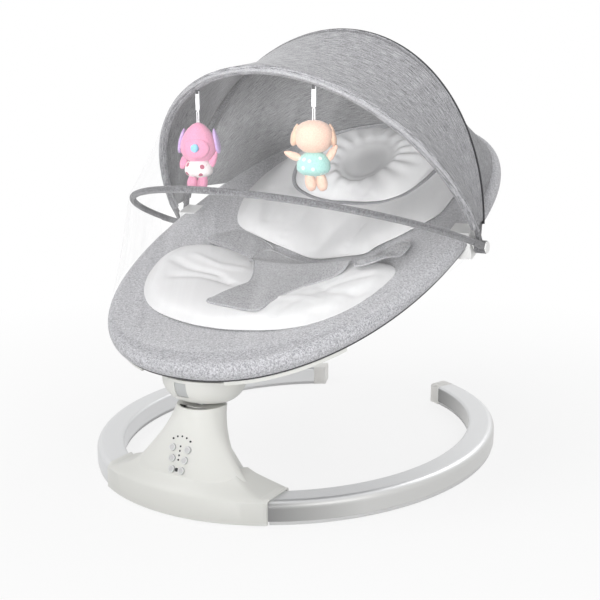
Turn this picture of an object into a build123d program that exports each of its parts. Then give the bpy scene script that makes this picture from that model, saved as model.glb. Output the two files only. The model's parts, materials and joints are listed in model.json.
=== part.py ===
import math
import os

from build123d import *

# Base ring: an oval aluminium C lying on the floor, open behind the head end
ring_half_width = 280.0
ring_half_length = 326.0
ring_width = 38.0
ring_height = 30.0
ring_wall = 2.5
ring_outer_round = 9.0
ring_inner_round = 4.0
strip_height = 5.0
strip_inset = 1.5
ring_gap_angle = 21.0
cap_angle = 4.2
cap_round = 2.0

# Pedestal: a moulded housing that grips the ring and rises to a round neck
cover_half_width = 123.0
cover_wall = 3.0
cover_lift = 1.0
arm_insert = 26.0
slip_gap = 0.3
front_slope = 0.357
front_foot_y = -328.0
neck_radius = 32.0
neck_z = 124.0
neck_y = -250.0
tower_low_z = 4.0
tower_low_half = 128.0
tower_bend_radius = 224.0
tower_thin = 20.0
tower_flare_power = 1.5
pod_half_width = 70.0
pod_back_y = -186.0
pod_front_y = -312.0
tower_sections = 5
section_points = 10
pod_top_z = 100.0
pod_top_half = 28.0
pod_top_back = -246.0
pod_top_front = -276.0

# Swing axis: through the neck, leaning back towards the head end
axis_lean = 8.0
shaft_radius = 9.0
running_gap = 0.05
bearing_radius = 13.5
bearing_length = 26.0
bearing_flange_radius = 22.0
bearing_flange = 6.0
shaft_below = 58.0
shaft_above = 11.0
lever_length = 28.0
lever_width = 18.0
lever_thick = 6.0
magnet_radius = 8.0
magnet_height = 8.0
coil_radius = 12.0
coil_core_radius = 5.0
coil_gap = 3.0

# Hub: a bowl that turns on the neck and carries the seat on a cross pin
hub_gap = 3.0
hub_low_radius = 28.0
hub_top_radius = 54.0
hub_height = 31.0
hub_wall = 4.0
hub_floor = 9.0
hub_bulge = 5.0
pin_height = 27.0
pin_radius = 5.0
ear_inner = 24.0
ear_thick = 7.0
ear_width = 22.0
latch_width = 17.0
latch_height = 18.0
latch_depth = 12.0
latch_height_on_axis = 21.0
latch_recess = 1.0
latch_travel = 3.4

# Control panel on the sloped front
panel_z = 65.0
button_radius = 4.6
button_length = 9.0
button_proud = 1.2
button_gap = 0.25
button_row_pitch = 13.2
button_row_spread = 11.4
button_row_step = 2.0
light_radius = 1.3
light_length = 5.0
light_arc_radius = 21.0
light_arc_turn = 19.0
light_arc_base = 7.5
light_dot_pitch = 5.6
sensor_radius = 2.4
board_width = 44.0
board_height = 50.0
board_thick = 1.6
board_depth = 16.0
board_post_radius = 2.5
speaker_radius = 16.0
speaker_depth = 14.0
speaker_y = -252.0
speaker_z = 40.0
grille_hole_radius = 0.9
grille_pitch = 6.0
grille_rows = 3
inlet_radius = 5.0
inlet_bore = 3.2
inlet_length = 18.0
inlet_z = 20.0
inlet_x = 0.0
plate_thick = 3.0
foot_pad_radius = 9.0
foot_pad_height = 3.0
foot_pad_spread = 40.0

# Seat: an oval tube in a plane that rises towards the head end
seat_slope = 20.46
seat_z = 295.2
rim_half_width = 227.0
rim_foot = -322.0
rim_head = 424.0
rim_mid = 58.7
rim_power = 2.3
rim_points = 24
tube_radius = 11.0
tube_wall = 1.5
fabric_gap = 0.3
sling_drop = 45.0
sling_thick = 4.0
sling_edge_gap = 0.8
sling_mid = 90.0
sling_half = 330.0
sling_power = 2.2
sling_foot = -298.0
sling_head = 398.0
sling_sections = 8
pan_edge = -216.0
pan_thick = 8.0
pan_outset = 5.0
pan_hole_radius = 17.0
pan_hole_spread = 84.0
pan_hole_row = -236.0
pan_notch_half = 62.0
pan_notch = -296.0
boss_radius = 11.0
web_half = 9.0

# Cushions and harness, in the plane of the seat
pad_edge_rise = 2.0
pad_power = 3.0
pad_sections = 6
pad_end = 0.04
pad_margin = 9.0
lower_foot = -230.0
lower_head = -30.0
lower_half_width = 183.0
lower_crown = 4.0
lower_lift = 0.6
body_lift = 0.6
body_foot = -27.0
body_head = 336.0
body_half_width = 178.0
body_crown = 3.0
pillow_foot = 126.0
pillow_head = 358.0
pillow_half_width = 118.0
pillow_lift = 3.6
pillow_crown = 34.0
pillow_dish_radius = 150.0
pillow_dish_depth = 12.0
crotch_foot = -186.0
crotch_half_width = 40.0
crotch_waist = 27.0
crotch_bar_foot = -78.0
crotch_bar_head = -22.0
crotch_bar_half = 88.0
crotch_thick = 6.0
crotch_round = 12.0
strap_width = 30.0
strap_start = 5.6
strap_thick = 2.6
strap_length = 96.0
strap_lean = 24.0

# Canopy: half-oval bows that fan out from one cross axis
hinge_y = 55.0
hinge_z = 302.0
bow_half_width = 253.0
bow_step = 5.0
bow_rise = 296.0
net_bow_rise = 308.0
bow_radius = 4.5
rear_angle = 81.1
front_angle = 126.9
net_angle = 163.0
bow_foot_turn = 8.0
eye_radius = 9.0
eye_thick = 4.4
hinge_pin_radius = 4.0
hinge_head_radius = 8.0
hinge_head = 2.4
tang_reach = 46.0
tang_width = 9.0
clamp_half = 14.0
clamp_inner = 13.5
clamp_outer = 16.0
cloth_offset = 5.5
cloth_foot_turn = 11.0
canopy_thick = 1.6
net_thick = 1.0
canopy_dip = 30.0
skirt_dip = 15.0
back_lift = 11.6
back_turn = 12.0
back_points = 9
cloth_split = 0.4
rim_net_angle = 194.0
rim_net_half_width = 251.0
rim_net_reach = 386.0

# Hanging plush toys
toy_strap_width = 6.0
toy_hang = 2.2
toy_strap_thick = 2.0
toy_strap_length = 27.0
toy_cord_radius = 0.8
toy_cord_spread = 3.0
toy_cord_length = 17.0
toy_gap = 0.3
left_toy_x = -101.0
right_toy_x = 83.5
head_half_width = 26.0
head_half_depth = 20.0
head_half_height = 25.0
body_half_toy = 16.0
body_half_height = 17.0
body_depth_ratio = 0.85
limb_radius = 6.2
arm_half_length = 14.0
leg_half_length = 13.0
ear_radius = 9.0
ear_thin = 0.55

# Whole model is moved so that its box is centred over the origin
origin_shift_y = -39.6

seat_plane = Plane(
    origin=(0, 0, seat_z),
    x_dir=(1, 0, 0),
    z_dir=(0, -math.sin(math.radians(seat_slope)), math.cos(math.radians(seat_slope))),
)
axis_plane = Plane(
    origin=(0, neck_y, neck_z),
    x_dir=(1, 0, 0),
    z_dir=(0, math.sin(math.radians(axis_lean)), math.cos(math.radians(axis_lean))),
)
panel_plane = Plane(
    origin=(0, front_foot_y + front_slope * panel_z, panel_z),
    x_dir=(1, 0, 0),
    z_dir=(0, -1, front_slope),
)
far = 1000.0


def save(name, shape):
    os.makedirs("parts", exist_ok=True)
    export_step(Pos(0, origin_shift_y, 0) * shape, "parts/" + name + ".step")


def cylinder_x(radius, x_low, x_high, y, z):
    disc = Plane(origin=(x_low, y, z), x_dir=(0, 1, 0), z_dir=(1, 0, 0)) * Circle(radius)
    return extrude(disc, x_high - x_low)


# Base ring

def ring_band(outset, low, high):
    outer = Ellipse(ring_half_width + outset, ring_half_length + outset)
    inner = Ellipse(
        ring_half_width - ring_width - outset,
        ring_half_length - ring_width - outset,
    )
    return Pos(0, 0, low) * extrude(outer - inner, high - low)


def rounded_band(outset, low, high):
    band = ring_band(outset, low, high)
    rims = band.faces().sort_by(Axis.Z)[-1].edges().sort_by(SortBy.LENGTH)
    band = fillet(rims[-1], ring_outer_round)
    inner = band.faces().sort_by(Axis.Z)[-1].edges().sort_by(SortBy.LENGTH)[0]
    return fillet(inner, ring_inner_round)


def ring_zone(front_x, end_angle):
    slope = math.tan(math.radians(end_angle))
    outline = Polyline(
        (front_x, -far),
        (far, -far),
        (far, far),
        (slope * far, far),
        (0, 0),
        (front_x, 0),
        close=True,
    )
    return Pos(0, 0, -far) * extrude(make_face(outline), 2 * far)


def cap_zone():
    near = math.tan(math.radians(ring_gap_angle))
    away = math.tan(math.radians(ring_gap_angle + cap_angle))
    outline = Polyline((0, 0), (near * far, far), (away * far, far), close=True)
    return Pos(0, 0, -far) * extrude(make_face(outline), 2 * far)


def base_arm():
    tube = rounded_band(0, strip_height, ring_height)
    bore = ring_band(-ring_wall, strip_height + ring_wall, ring_height - ring_wall - ring_inner_round)
    zone = ring_zone(cover_half_width - arm_insert, ring_gap_angle + cap_angle)
    return (tube - bore) & zone


def foot_strip():
    zone = ring_zone(cover_half_width + slip_gap, ring_gap_angle + cap_angle)
    return ring_band(-strip_inset, 0, strip_height) & zone


def end_cap():
    return rounded_band(0, 0, ring_height) & cap_zone()


# Pedestal housing

def smooth_loop(points):
    return make_face(Spline(*points, periodic=True))


def tower_front(z):
    return front_foot_y + front_slope * z


def tower_section(fraction, inset):
    z = tower_low_z + fraction * (neck_z - tower_low_z)
    flare = (1 - fraction) ** tower_flare_power
    half = neck_radius + flare * (tower_low_half - neck_radius) - inset
    thick = tower_thin + fraction * (neck_radius - tower_thin) - inset
    middle = tower_front(z) + thick + inset
    bend = tower_bend_radius / max(1 - fraction, pad_end)
    points = []
    for step in range(section_points):
        turn = math.tau * step / section_points
        along = half * math.cos(turn)
        swing = along / bend
        reach = bend - thick * math.sin(turn)
        points.append((reach * math.sin(swing), middle + bend - reach * math.cos(swing), z))
    return smooth_loop(points)


def tower(inset):
    steps = range(tower_sections)
    return loft([tower_section(step / (tower_sections - 1), inset) for step in steps])


def pod_section(fraction, inset):
    z = cover_lift + fraction * (pod_top_z - cover_lift)
    flare = 1 - fraction
    half = pod_top_half + flare * (pod_half_width - pod_top_half) - inset
    back = pod_top_back + flare * (pod_back_y - pod_top_back) - inset
    front = pod_top_front + flare * (pod_front_y - pod_top_front) + inset
    middle = (back + front) / 2
    depth = (back - front) / 2
    points = []
    for step in range(section_points):
        turn = math.tau * step / section_points
        points.append((half * math.cos(turn), middle + depth * math.sin(turn), z))
    return smooth_loop(points)


def pod(inset):
    steps = range(tower_sections)
    return loft([pod_section(step / (tower_sections - 1), inset) for step in steps])


def sleeve_zone():
    return Pos(0, -far / 2, 0) * Box(2 * cover_half_width, far, far)


def above_floor(shape):
    return shape & (Pos(0, 0, cover_lift + far / 2) * Box(2 * far, 2 * far, far))


def neck_cut():
    return axis_plane * Pos(0, 0, far / 2) * Box(far, far, far)


def housing_outer():
    sleeve = rounded_band(cover_wall, cover_lift, ring_height + cover_wall) & sleeve_zone()
    return (sleeve + tower(0)) - neck_cut()


def housing_hollow():
    channel = ring_band(slip_gap, -far, ring_height + slip_gap) & (
        Pos(0, -far / 2, 0) * Box(far, far, 2 * far)
    )
    room = tower(cover_wall) + pod(cover_wall)
    room = room - (axis_plane * Pos(0, 0, far / 2 - cover_wall) * Box(far, far, far))
    floor_room = extrude(pod_section(0, cover_wall), -cover_lift)
    return channel, room, floor_room


def shaft_hole():
    return axis_plane * Pos(0, 0, -shaft_below) * Cylinder(
        shaft_radius + cover_wall, far, align=(Align.CENTER, Align.CENTER, Align.MIN)
    )


def panel_spots():
    spots = []
    for row in range(3):
        for side in (-1, 1):
            spread = button_row_spread - button_row_step * row
            spots.append((side * spread, button_row_pitch * (1 - row)))
    return spots


def light_spots():
    spots = []
    for step in range(5):
        turn = math.radians(90 + light_arc_turn * (2 - step))
        spots.append((light_arc_radius * math.cos(turn), light_arc_base + light_arc_radius * math.sin(turn)))
    for step in range(4):
        spots.append((0, button_row_pitch - light_dot_pitch * step + light_dot_pitch / 2))
    return spots


def panel_rod(spot, radius, length, proud):
    rod = Cylinder(radius, length, align=(Align.CENTER, Align.CENTER, Align.MAX))
    return panel_plane * Pos(spot[0], spot[1], proud) * rod


def panel_holes():
    holes = [panel_rod(s, button_radius + button_gap, 3 * button_length, button_length) for s in panel_spots()]
    holes += [panel_rod(s, light_radius, 3 * button_length, button_length) for s in light_spots()]
    holes.append(panel_rod(sensor_spot(), sensor_radius, 3 * button_length, button_length))
    return holes


def sensor_spot():
    return (0, -button_row_pitch)


def grille_holes():
    holes = []
    for row in range(grille_rows):
        for step in range(grille_rows):
            y = speaker_y + grille_pitch * (step - (grille_rows - 1) / 2)
            z = speaker_z + grille_pitch * (row - (grille_rows - 1) / 2)
            holes.append(cylinder_x(grille_hole_radius, speaker_depth, pod_half_width, y, z))
    return holes


def inlet_hole(radius):
    disc = Plane(origin=(inlet_x, pod_back_y - inlet_length, inlet_z), x_dir=(1, 0, 0), z_dir=(0, 1, 0))
    return extrude(disc * Circle(radius), 2 * inlet_length)


def front_cover(outer, channel, room):
    cover = above_floor(outer) - [channel, room]
    return largest(cover - panel_holes() - shaft_hole())


def rear_cover(channel, room):
    grip = ring_band(cover_wall + slip_gap, -far, ring_height + cover_wall + slip_gap)
    cover = pod(0) - tower(0) - room
    cover = largest(cover - grip)
    return largest(cover - grille_holes() - inlet_hole(inlet_radius + slip_gap))


def largest(shape):
    return shape.solids().sort_by(SortBy.VOLUME)[-1]


def base_plate(floor_room):
    plate = extrude(pod_section(0, cover_wall + plate_thick), plate_thick)
    ring_inside = ring_half_length - ring_width - cover_wall - slip_gap
    inside = extrude(Ellipse(ring_inside * ring_half_width / ring_half_length, ring_inside), far)
    plate = plate & inside
    return Pos(0, 0, foot_pad_height - cover_lift) * plate


def foot_pads():
    pads = []
    for side in (-1, 1):
        pad = Cylinder(foot_pad_radius, foot_pad_height, align=(Align.CENTER, Align.CENTER, Align.MIN))
        pads.append(Pos(side * foot_pad_spread, speaker_y + foot_pad_radius, 0) * pad)
    return Compound(pads)


# Drive inside the pedestal

def on_axis(radius, low, high):
    rod = Cylinder(radius, high - low, align=(Align.CENTER, Align.CENTER, Align.MIN))
    return axis_plane * Pos(0, 0, low) * rod


def bearing_housing():
    top = -cover_wall
    body = on_axis(bearing_radius, top - bearing_length, top)
    body = body + on_axis(bearing_flange_radius, top - bearing_flange, top)
    return body - on_axis(shaft_radius, -far, far)


def swing_shaft():
    return on_axis(shaft_radius - running_gap, -shaft_below, hub_gap + shaft_above)


def lever_low():
    return -shaft_below + lever_thick


def drive_lever():
    arm = Box(lever_width, lever_length, lever_thick, align=(Align.CENTER, Align.MIN, Align.MAX))
    arm = axis_plane * Pos(0, 0, -shaft_below) * arm
    eye = on_axis(shaft_radius + cover_wall, -shaft_below - lever_thick, -shaft_below)
    magnet = Cylinder(magnet_radius, magnet_height, align=(Align.CENTER, Align.MAX, Align.MAX))
    seat = axis_plane * Pos(0, lever_length, -shaft_below - lever_thick) * magnet
    return arm + eye + seat


def coil_top():
    return (
        neck_z
        - (shaft_below + lever_thick + magnet_height) * math.cos(math.radians(axis_lean))
        - lever_length * math.sin(math.radians(axis_lean))
        - coil_gap
    )


def drive_coil():
    floor = foot_pad_height + plate_thick
    height = coil_top() - floor
    y = neck_y + lever_length - coil_radius
    spool = Cylinder(coil_radius, height, align=(Align.CENTER, Align.CENTER, Align.MIN))
    core = Cylinder(coil_core_radius, far)
    return Pos(0, y, floor) * (spool - core)


def control_board(room):
    plate = Box(board_width, board_height, board_thick, align=(Align.CENTER, Align.CENTER, Align.MAX))
    board = panel_plane * Pos(0, 0, -board_depth) * plate
    for x in (-1, 1):
        for y in (-1, 1):
            reach = board_post_radius * 2
            spot = (x * (board_width / 2 - reach), y * (board_height / 2 - reach))
            post = panel_rod(spot, board_post_radius, board_depth, 0)
            board = board + post
    return largest(board & room)


def speaker(room):
    can = cylinder_x(speaker_radius, pod_half_width - 2 * speaker_depth, pod_half_width, speaker_y, speaker_z)
    return largest(can & room)


def power_inlet():
    plug = inlet_hole(inlet_radius) & (
        Pos(0, pod_back_y - inlet_length, 0) * Box(far, 2 * inlet_length, far)
    )
    back = Pos(0, pod_back_y - inlet_length / 2, 0) * Box(far, inlet_length, far)
    return (inlet_hole(inlet_radius) & back) - (
        inlet_hole(inlet_bore) & (Pos(0, pod_back_y, 0) * Box(far, inlet_length, far))
    )


def panel_lights(room):
    lenses = []
    for spot in light_spots():
        lenses.append(panel_rod(spot, light_radius - running_gap, light_length, 0))
    return Compound(lenses)


# Hub

def hub_profile(inset, low):
    top = hub_gap + hub_height
    foot = (hub_low_radius - inset, low)
    rim = (hub_top_radius - inset, top)
    middle = ((foot[0] + rim[0]) / 2 + hub_bulge, (foot[1] + rim[1]) / 2 - hub_bulge)
    side = ThreePointArc(foot, middle, rim)
    lines = Polyline(rim, (0, top), (0, low), foot)
    return make_face(Plane.XZ * (side + lines))


def hub_bowl():
    return axis_plane * revolve(hub_profile(0, hub_gap), Axis.Z)


def pin_point():
    return axis_plane.from_local_coords((0, 0, pin_height))


def hub_ears():
    ears = []
    low = hub_gap + hub_floor / 2
    high = pin_height + boss_radius
    for side in (-1, 1):
        ear = Box(ear_thick, ear_width, high - low, align=(Align.CENTER, Align.CENTER, Align.MIN))
        ears.append(axis_plane * Pos(side * (ear_inner + ear_thick / 2), 0, low) * ear)
    return ears


def latch_block(gap, travel):
    block = Box(latch_width + 2 * gap, 2 * latch_depth + travel, latch_height + 2 * gap)
    y = -hub_top_radius + latch_depth / 2 + travel / 2
    return axis_plane * Pos(0, y, latch_height_on_axis) * block


def hub_cup():
    hollow = axis_plane * revolve(hub_profile(hub_wall, hub_gap + hub_floor), Axis.Z)
    cup = hub_bowl() - latch_block(slip_gap, latch_travel) - hollow
    cup = cup - on_axis(shaft_radius, -far, hub_gap + shaft_above)
    pin = pin_point()
    reach = ear_inner + ear_thick
    for ear in hub_ears():
        cup = cup + (ear - cylinder_x(pin_radius, -reach, reach, pin.Y, pin.Z))
    return largest(cup)


def latch_button():
    shell = axis_plane * revolve(hub_profile(latch_recess, hub_gap), Axis.Z)
    return largest(latch_block(0, 0) & shell)


def cross_pin():
    pin = pin_point()
    reach = ear_inner + ear_thick
    return cylinder_x(pin_radius - running_gap, -reach, reach, pin.Y, pin.Z)


# Seat

def oval_half_width(along, half_width, foot, head):
    span = head - rim_mid if along > rim_mid else rim_mid - foot
    reach = min(abs(along - rim_mid) / span, 1)
    return half_width * (1 - reach**rim_power) ** (1 / rim_power)


def rim_point(turn, outset):
    side = math.cos(turn)
    along = math.sin(turn)
    x = math.copysign(abs(side) ** (2 / rim_power), side) * (rim_half_width + outset)
    span = rim_head - rim_mid if along > 0 else rim_mid - rim_foot
    y = math.copysign(abs(along) ** (2 / rim_power), along) * (span + outset)
    return (x, rim_mid + y, 0)


def rim_curve(outset):
    turns = [math.tau * step / rim_points for step in range(rim_points)]
    return Spline(*[rim_point(turn, outset) for turn in turns], periodic=True)


def rim_rod(radius):
    path = rim_curve(0)
    start = Plane(origin=path @ 0, z_dir=path % 0)
    return seat_plane * sweep(start * Circle(radius), path=path)


def seat_frame():
    path = rim_curve(0)
    start = Plane(origin=path @ 0, z_dir=path % 0)
    section = Circle(tube_radius) - Circle(tube_radius - tube_wall)
    return seat_plane * sweep(start * section, path=path)


def seat_pan():
    outline = make_face(rim_curve(pan_outset)) & (Pos(0, pan_edge - far / 2) * Rectangle(far, far))
    for side in (-1, 1):
        outline = outline - Pos(side * pan_hole_spread, pan_hole_row) * Circle(pan_hole_radius)
    outline = outline - Pos(0, pan_notch - far / 2) * Rectangle(2 * pan_notch_half, far)
    plate = extrude(outline, -pan_thick)
    return seat_plane * Pos(0, 0, -tube_radius) * plate


def seat_bracket():
    pin = pin_point()
    reach = ear_inner - slip_gap
    boss = cylinder_x(boss_radius, -reach, reach, pin.Y, pin.Z)
    local = seat_plane.to_local_coords(pin)
    web = Box(2 * reach, 2 * web_half, -tube_radius - local.Z, align=(Align.CENTER, Align.CENTER, Align.MIN))
    web = seat_plane * Pos(0, local.Y, local.Z) * web
    bracket = seat_pan() + boss + web
    return bracket - cylinder_x(pin_radius + running_gap / 2, -far, far, pin.Y, pin.Z)


def sling_depth(along):
    reach = abs(along - sling_mid) / sling_half
    return sling_drop * max(1 - reach**sling_power, pad_end)


def sling_half_width(along):
    edge = tube_radius + sling_edge_gap
    return oval_half_width(along, rim_half_width - edge, rim_foot + edge, rim_head - edge)


def dish_section(along, half, low, high):
    left_low = (-half, -sling_thick / 2)
    right_low = (half, -sling_thick / 2)
    left_high = (-half, sling_thick / 2)
    right_high = (half, sling_thick / 2)
    edge = ThreePointArc(left_low, (0, low), right_low)
    edge = edge + Line(right_low, right_high)
    edge = edge + ThreePointArc(right_high, (0, high), left_high)
    edge = edge + Line(left_high, left_low)
    return station(along) * make_face(edge)


def station(along):
    return Plane(origin=(0, along, 0), x_dir=(1, 0, 0), z_dir=(0, -1, 0))


def seat_sling():
    sections = []
    for step in range(sling_sections):
        along = sling_foot + (sling_head - sling_foot) * step / (sling_sections - 1)
        half = sling_half_width(along)
        depth = sling_depth(along)
        low = -depth - sling_thick / 2
        sections.append(dish_section(along, half, low, low + sling_thick))
    sling = seat_plane * loft(sections)
    return largest(sling - [clamp_block(side, fabric_gap) for side in (-1, 1)])


# Cushions

def lens_section(along, half, edge, low, high):
    bottom = ThreePointArc((-half, edge), (0, low), (half, edge))
    top = ThreePointArc((half, edge), (0, high), (-half, edge))
    return station(along) * make_face(bottom + top)


def cushion(foot, head, half_width, edge, floor_gap, crown, flat_floor):
    sections = []
    for step in range(pad_sections):
        fraction = pad_end + (1 - 2 * pad_end) * step / (pad_sections - 1)
        along = foot + (head - foot) * fraction
        swell = (1 - abs(2 * fraction - 1) ** pad_power) ** (1 / pad_power)
        low = -sling_depth(along) + sling_thick / 2 + floor_gap
        if flat_floor:
            low = floor_gap
        low = min(low, edge - floor_gap)
        high = edge + (crown - edge) * swell + floor_gap
        half = min(half_width * swell, sling_half_width(along) - pad_margin)
        sections.append(lens_section(along, half, edge, edge + (low - edge) * swell, high))
    return loft(sections)


def lower_pad():
    pad = cushion(lower_foot, lower_head, lower_half_width, pad_edge_rise, lower_lift, lower_crown, False)
    return seat_plane * pad


def body_pad():
    pad = cushion(body_foot, body_head, body_half_width, pad_edge_rise, body_lift, body_crown, False)
    return seat_plane * pad


def head_pillow():
    edge = body_crown + 2 * pillow_lift
    pad = cushion(pillow_foot, pillow_head, pillow_half_width, edge, pillow_lift + body_lift, pillow_crown, True)
    middle = (pillow_foot + pillow_head) / 2
    dish = Pos(0, middle, pillow_crown + pillow_dish_radius - pillow_dish_depth) * Sphere(pillow_dish_radius)
    return seat_plane * (pad - dish)


def crotch_height():
    return lower_crown + lower_lift + fabric_gap


def crotch_pad():
    outline = Polyline(
        (-crotch_half_width, crotch_foot),
        (crotch_half_width, crotch_foot),
        (crotch_waist, crotch_bar_foot),
        (crotch_bar_half, crotch_bar_foot),
        (crotch_bar_half, crotch_bar_head),
        (-crotch_bar_half, crotch_bar_head),
        (-crotch_bar_half, crotch_bar_foot),
        (-crotch_waist, crotch_bar_foot),
        close=True,
    )
    face = make_face(outline)
    face = fillet(face.vertices(), crotch_round)
    pad = Pos(0, 0, crotch_height()) * extrude(face, crotch_thick)
    pad = fillet(pad.faces().sort_by(Axis.Z)[-1].edges(), crotch_thick / 3)
    return seat_plane * pad


def harness_strap(side):
    strap = Box(strap_length, strap_width, strap_thick, align=(Align.MIN, Align.CENTER, Align.MIN))
    strap = fillet(strap.edges().filter_by(Axis.Z), strap_thick)
    middle = (crotch_bar_foot + crotch_bar_head) / 2
    strap = Pos(crotch_bar_half + strap_start, middle, crotch_height()) * Rot(0, 0, strap_lean) * strap
    if side < 0:
        strap = mirror(strap, Plane.YZ)
    return seat_plane * strap


# Canopy

def fan_plane(angle):
    turn = math.radians(angle)
    return Plane(
        origin=(0, hinge_y, hinge_z),
        x_dir=(1, 0, 0),
        z_dir=(0, -math.sin(turn), math.cos(turn)),
    )


def bow(angle, half_width, rise):
    path = EllipticalCenterArc((0, 0), half_width, rise, bow_foot_turn, arc_size=180 - 2 * bow_foot_turn)
    start = Plane(origin=path @ 0, z_dir=path % 0)
    body = sweep(start * Circle(bow_radius), path=path)
    for side in (-1, 1):
        eye = cylinder_x(eye_radius, -eye_thick / 2, eye_thick / 2, 0, 0)
        tang = Box(eye_thick, tang_reach, tang_width, align=(Align.CENTER, Align.MIN, Align.CENTER))
        body = body + Pos(side * half_width, 0, 0) * (eye + tang)
    body = body - cylinder_x(hinge_pin_radius + running_gap, -far, far, 0, 0)
    return fan_plane(angle) * body


def rear_half():
    return bow_half_width - bow_step


def net_half():
    return bow_half_width + bow_step


def clamp_block(side, gap):
    local = seat_plane.to_local_coords(Vector(0, hinge_y, hinge_z))
    x_low = rim_half_width - clamp_inner - gap
    x_high = rim_half_width + clamp_outer + gap
    z_low = local.Z - clamp_half - gap
    z_high = clamp_half + gap
    block = Box(x_high - x_low, 2 * clamp_half + 2 * gap, z_high - z_low)
    block = Pos(side * (x_low + x_high) / 2, local.Y, (z_low + z_high) / 2) * block
    return seat_plane * block


def canopy_bracket(side):
    block = largest(clamp_block(1, 0) - rim_rod(tube_radius))
    x_low = rim_half_width + clamp_outer - bow_radius
    x_high = net_half() + eye_thick / 2 + running_gap
    pin = cylinder_x(hinge_pin_radius, x_low, x_high + hinge_head, hinge_y, hinge_z)
    head = cylinder_x(hinge_head_radius, x_high + fabric_gap, x_high + hinge_head, hinge_y, hinge_z)
    bracket = block + pin + head
    if side < 0:
        bracket = mirror(bracket, Plane.YZ)
    return bracket


def cloth_section(angle, half_width, rise, thick):
    sweep_turn = 180 - 2 * cloth_foot_turn
    outer = EllipticalCenterArc((0, 0), half_width + thick, rise + thick, cloth_foot_turn, arc_size=sweep_turn)
    inner = EllipticalCenterArc((0, 0), half_width, rise, cloth_foot_turn, arc_size=sweep_turn)
    edges = outer + Line(outer @ 1, inner @ 1) + inner + Line(inner @ 0, outer @ 0)
    return fan_plane(angle) * make_face(edges)


def canopy_fabric():
    middle = (rear_angle + front_angle) / 2
    dip = cloth_offset - canopy_dip
    return loft([
        cloth_section(rear_angle, rear_half() + cloth_offset, bow_rise + cloth_offset, canopy_thick),
        cloth_section(middle, bow_half_width, bow_rise + dip, canopy_thick),
        cloth_section(front_angle - cloth_split, bow_half_width + cloth_offset, bow_rise + cloth_offset, canopy_thick),
    ])


def back_edge(outset):
    points = []
    for step in range(back_points):
        turn = back_turn + (180 - 2 * back_turn) * step / (back_points - 1)
        points.append(rim_point(math.radians(turn), outset))
    return Spline(*points)


def canopy_back():
    outer = back_edge(canopy_thick / 2)
    inner = back_edge(-canopy_thick / 2)
    edges = outer + Line(outer @ 1, inner @ 1) + inner + Line(inner @ 0, outer @ 0)
    rim = seat_plane * Pos(0, 0, back_lift) * make_face(edges)
    top = cloth_section(
        rear_angle - cloth_split, rear_half() + cloth_offset, bow_rise + cloth_offset, canopy_thick
    )
    return loft([rim, top])


def net_upper():
    return loft([
        cloth_section(front_angle + cloth_split, bow_half_width + cloth_offset, bow_rise + cloth_offset, net_thick),
        cloth_section(net_angle - cloth_split, net_half() + cloth_offset, net_bow_rise + cloth_offset, net_thick),
    ])


def net_lower():
    middle = (net_angle + rim_net_angle) / 2
    start_half = net_half() + cloth_offset
    start_rise = net_bow_rise + cloth_offset
    middle_half = (start_half + rim_net_half_width) / 2
    middle_reach = (start_rise + rim_net_reach) / 2 - skirt_dip
    return loft([
        cloth_section(net_angle + cloth_split, start_half, start_rise, net_thick),
        cloth_section(middle, middle_half, middle_reach, net_thick),
        cloth_section(rim_net_angle, rim_net_half_width, rim_net_reach, net_thick),
    ])


# Toys

def bow_point(x):
    reach = bow_rise * math.sqrt(1 - (x / bow_half_width) ** 2)
    turn = math.radians(front_angle)
    return (x, hinge_y + reach * math.cos(turn), hinge_z + reach * math.sin(turn))


def egg(half_x, half_y, half_z):
    return scale(Sphere(1.0), by=(half_x, half_y, half_z))


def toy_pieces(x):
    top = bow_point(x)
    hook = Pos(top[0], top[1], top[2] - bow_radius - toy_hang)
    strap_z = -toy_strap_length
    head_z = strap_z - toy_cord_length - head_half_height - toy_gap
    body_z = head_z - head_half_height - body_half_height + body_half_height / 3
    leg_z = body_z - body_half_height
    strap = Box(toy_strap_width, toy_strap_thick, toy_strap_length, align=(Align.CENTER, Align.CENTER, Align.MAX))
    cord = toy_cord(strap_z - toy_gap)
    head = Pos(0, 0, head_z) * egg(head_half_width, head_half_depth, head_half_height)
    head_room = Pos(0, 0, head_z) * egg(
        head_half_width + toy_gap, head_half_depth + toy_gap, head_half_height + toy_gap
    )
    body = Pos(0, 0, body_z) * egg(body_half_toy, body_half_toy * body_depth_ratio, body_half_height)
    body_room = Pos(0, 0, body_z) * egg(
        body_half_toy + toy_gap, body_half_toy * body_depth_ratio + toy_gap, body_half_height + toy_gap
    )
    ears = []
    arms = []
    legs = []
    for side in (-1, 1):
        ear = Pos(side * head_half_width, 0, head_z + ear_radius) * egg(ear_radius, ear_radius * ear_thin, ear_radius)
        ears.append(largest(ear - head_room))
        arm = Rot(0, side * 55, 0) * egg(limb_radius, limb_radius, arm_half_length)
        arm = Pos(side * (body_half_toy + limb_radius), 0, body_z + limb_radius) * arm
        arms.append(largest(arm - body_room - head_room))
        leg = Pos(side * limb_radius * 1.2, 0, leg_z) * egg(limb_radius, limb_radius, leg_half_length)
        legs.append(largest(leg - body_room))
    body = body - head_room
    pieces = {"strap": strap, "cord": cord, "head": head, "body": largest(body)}
    pieces["ears"] = Compound(ears)
    pieces["arms"] = Compound(arms)
    pieces["legs"] = Compound(legs)
    return {name: hook * piece for name, piece in pieces.items()}


def toy_cord(top):
    half = toy_cord_spread / 2
    low = top - toy_cord_length + toy_gap
    path = FilletPolyline(
        (-half, 0, low),
        (-half, 0, top - toy_cord_radius),
        (half, 0, top - toy_cord_radius),
        (half, 0, low),
        radius=half * 0.98,
    )
    start = Plane(origin=path @ 0, z_dir=path % 0)
    return sweep(start * Circle(toy_cord_radius), path=path)


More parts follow.
